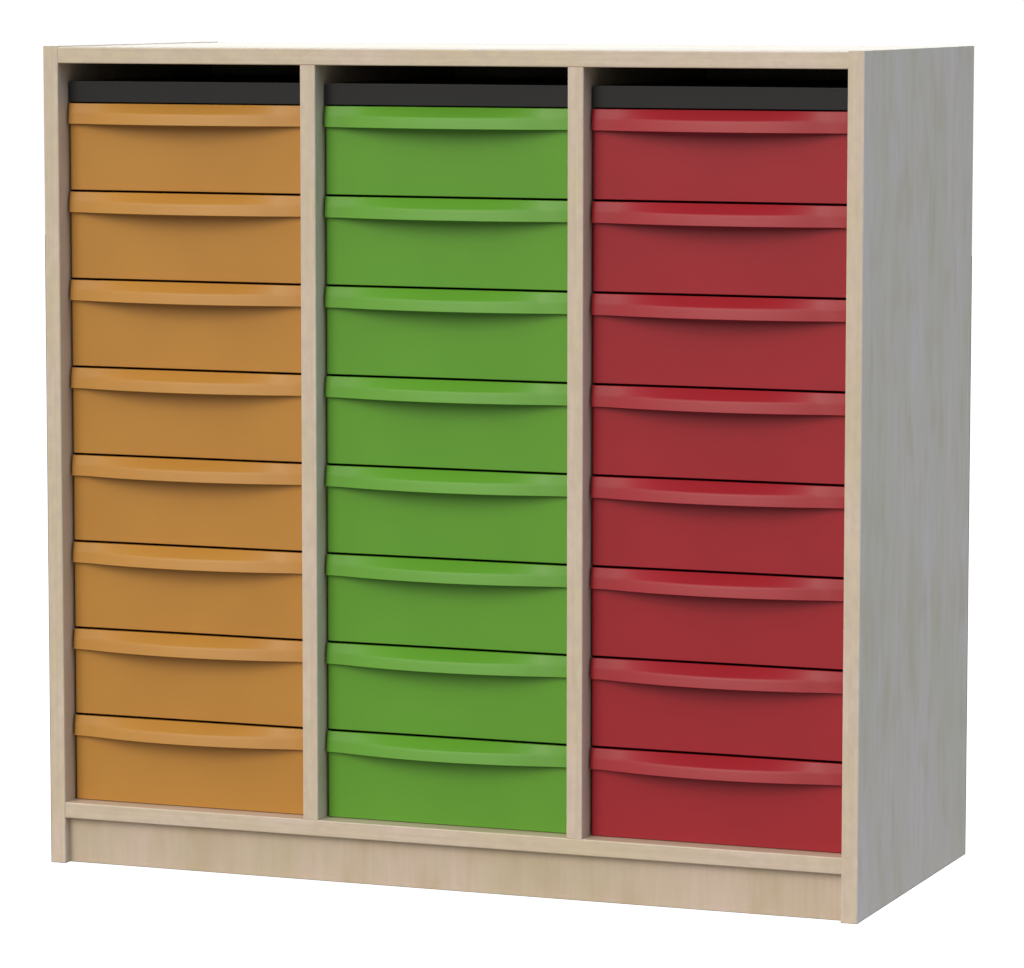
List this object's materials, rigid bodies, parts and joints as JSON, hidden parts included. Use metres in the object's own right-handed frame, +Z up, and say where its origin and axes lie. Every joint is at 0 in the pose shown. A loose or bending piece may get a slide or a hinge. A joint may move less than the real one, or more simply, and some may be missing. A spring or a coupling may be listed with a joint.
{
  "type": "classroom tray storage unit",
  "caption": "Free-standing board cabinet with a plinth and columns of shallow plastic trays that slide out to the front on plastic runners.",
  "frame": {"origin": "on the floor, under the middle of the cabinet", "axes": "+X to the right as seen from the front, +Y from the front to the back, +Z up; the trays slide out along -Y"},
  "size_m": [1, 0.445, 0.967],
  "materials": {
    "maple_board": "maple-look melamine facing on chipboard, satin",
    "maple_edging": "maple-look plastic edging, satin, long edges rounded",
    "orange_plastic": "moulded polypropylene, fine satin texture",
    "green_plastic": "moulded polypropylene, fine satin texture",
    "red_plastic": "moulded polypropylene, fine satin texture",
    "black_plastic": "black moulded plastic, matt",
    "plated_steel": "zinc plated",
    "cast_zinc": "die-cast zinc, bright as cast",
    "beech": "plain beech, fluted dowel stock, unfinished"
  },
  "bodies": {
    "cabinet": {"left_side_panel": "maple_board", "right_side_panel": "maple_board", "top_panel": "maple_board", "bottom_panel": "maple_board", "left_partition": "maple_board", "right_partition": "maple_board", "front_plinth": "maple_board", "rear_plinth": "maple_board", "back_panel": "maple_board", "left_side_edging": "maple_edging", "right_side_edging": "maple_edging", "left_partition_edging": "maple_edging", "right_partition_edging": "maple_edging", "top_panel_edging": "maple_edging", "bottom_panel_edging": "maple_edging", "left_column_left_runner": "black_plastic", "left_column_right_runner": "black_plastic", "middle_column_left_runner": "black_plastic", "middle_column_right_runner": "black_plastic", "right_column_left_runner": "black_plastic", "right_column_right_runner": "black_plastic", "left_column_cover": "black_plastic", "middle_column_cover": "black_plastic", "right_column_cover": "black_plastic", "wood_dowels": "beech", "cam_bolts": "plated_steel", "cam_housings": "cast_zinc", "runner_screws": "plated_steel"},
    "orange_tray_1": {"orange_tray_1": "orange_plastic"},
    "orange_tray_2": {"orange_tray_2": "orange_plastic"},
    "orange_tray_3": {"orange_tray_3": "orange_plastic"},
    "orange_tray_4": {"orange_tray_4": "orange_plastic"},
    "orange_tray_5": {"orange_tray_5": "orange_plastic"},
    "orange_tray_6": {"orange_tray_6": "orange_plastic"},
    "orange_tray_7": {"orange_tray_7": "orange_plastic"},
    "orange_tray_8": {"orange_tray_8": "orange_plastic"},
    "green_tray_1": {"green_tray_1": "green_plastic"},
    "green_tray_2": {"green_tray_2": "green_plastic"},
    "green_tray_3": {"green_tray_3": "green_plastic"},
    "green_tray_4": {"green_tray_4": "green_plastic"},
    "green_tray_5": {"green_tray_5": "green_plastic"},
    "green_tray_6": {"green_tray_6": "green_plastic"},
    "green_tray_7": {"green_tray_7": "green_plastic"},
    "green_tray_8": {"green_tray_8": "green_plastic"},
    "red_tray_1": {"red_tray_1": "red_plastic"},
    "red_tray_2": {"red_tray_2": "red_plastic"},
    "red_tray_3": {"red_tray_3": "red_plastic"},
    "red_tray_4": {"red_tray_4": "red_plastic"},
    "red_tray_5": {"red_tray_5": "red_plastic"},
    "red_tray_6": {"red_tray_6": "red_plastic"},
    "red_tray_7": {"red_tray_7": "red_plastic"},
    "red_tray_8": {"red_tray_8": "red_plastic"}
  },
  "joints": [
    {"name": "orange_tray_1_slide", "type": "slide", "parent": "cabinet", "child": "orange_tray_1", "axis": [0, -1, 0], "range_m": [0, 0.3]},
    {"name": "orange_tray_2_slide", "type": "slide", "parent": "cabinet", "child": "orange_tray_2", "axis": [0, -1, 0], "range_m": [0, 0.3]},
    {"name": "orange_tray_3_slide", "type": "slide", "parent": "cabinet", "child": "orange_tray_3", "axis": [0, -1, 0], "range_m": [0, 0.3]},
    {"name": "orange_tray_4_slide", "type": "slide", "parent": "cabinet", "child": "orange_tray_4", "axis": [0, -1, 0], "range_m": [0, 0.3]},
    {"name": "orange_tray_5_slide", "type": "slide", "parent": "cabinet", "child": "orange_tray_5", "axis": [0, -1, 0], "range_m": [0, 0.3]},
    {"name": "orange_tray_6_slide", "type": "slide", "parent": "cabinet", "child": "orange_tray_6", "axis": [0, -1, 0], "range_m": [0, 0.3]},
    {"name": "orange_tray_7_slide", "type": "slide", "parent": "cabinet", "child": "orange_tray_7", "axis": [0, -1, 0], "range_m": [0, 0.3]},
    {"name": "orange_tray_8_slide", "type": "slide", "parent": "cabinet", "child": "orange_tray_8", "axis": [0, -1, 0], "range_m": [0, 0.3]},
    {"name": "green_tray_1_slide", "type": "slide", "parent": "cabinet", "child": "green_tray_1", "axis": [0, -1, 0], "range_m": [0, 0.3]},
    {"name": "green_tray_2_slide", "type": "slide", "parent": "cabinet", "child": "green_tray_2", "axis": [0, -1, 0], "range_m": [0, 0.3]},
    {"name": "green_tray_3_slide", "type": "slide", "parent": "cabinet", "child": "green_tray_3", "axis": [0, -1, 0], "range_m": [0, 0.3]},
    {"name": "green_tray_4_slide", "type": "slide", "parent": "cabinet", "child": "green_tray_4", "axis": [0, -1, 0], "range_m": [0, 0.3]},
    {"name": "green_tray_5_slide", "type": "slide", "parent": "cabinet", "child": "green_tray_5", "axis": [0, -1, 0], "range_m": [0, 0.3]},
    {"name": "green_tray_6_slide", "type": "slide", "parent": "cabinet", "child": "green_tray_6", "axis": [0, -1, 0], "range_m": [0, 0.3]},
    {"name": "green_tray_7_slide", "type": "slide", "parent": "cabinet", "child": "green_tray_7", "axis": [0, -1, 0], "range_m": [0, 0.3]},
    {"name": "green_tray_8_slide", "type": "slide", "parent": "cabinet", "child": "green_tray_8", "axis": [0, -1, 0], "range_m": [0, 0.3]},
    {"name": "red_tray_1_slide", "type": "slide", "parent": "cabinet", "child": "red_tray_1", "axis": [0, -1, 0], "range_m": [0, 0.3]},
    {"name": "red_tray_2_slide", "type": "slide", "parent": "cabinet", "child": "red_tray_2", "axis": [0, -1, 0], "range_m": [0, 0.3]},
    {"name": "red_tray_3_slide", "type": "slide", "parent": "cabinet", "child": "red_tray_3", "axis": [0, -1, 0], "range_m": [0, 0.3]},
    {"name": "red_tray_4_slide", "type": "slide", "parent": "cabinet", "child": "red_tray_4", "axis": [0, -1, 0], "range_m": [0, 0.3]},
    {"name": "red_tray_5_slide", "type": "slide", "parent": "cabinet", "child": "red_tray_5", "axis": [0, -1, 0], "range_m": [0, 0.3]},
    {"name": "red_tray_6_slide", "type": "slide", "parent": "cabinet", "child": "red_tray_6", "axis": [0, -1, 0], "range_m": [0, 0.3]},
    {"name": "red_tray_7_slide", "type": "slide", "parent": "cabinet", "child": "red_tray_7", "axis": [0, -1, 0], "range_m": [0, 0.3]},
    {"name": "red_tray_8_slide", "type": "slide", "parent": "cabinet", "child": "red_tray_8", "axis": [0, -1, 0], "range_m": [0, 0.3]}
  ]
}
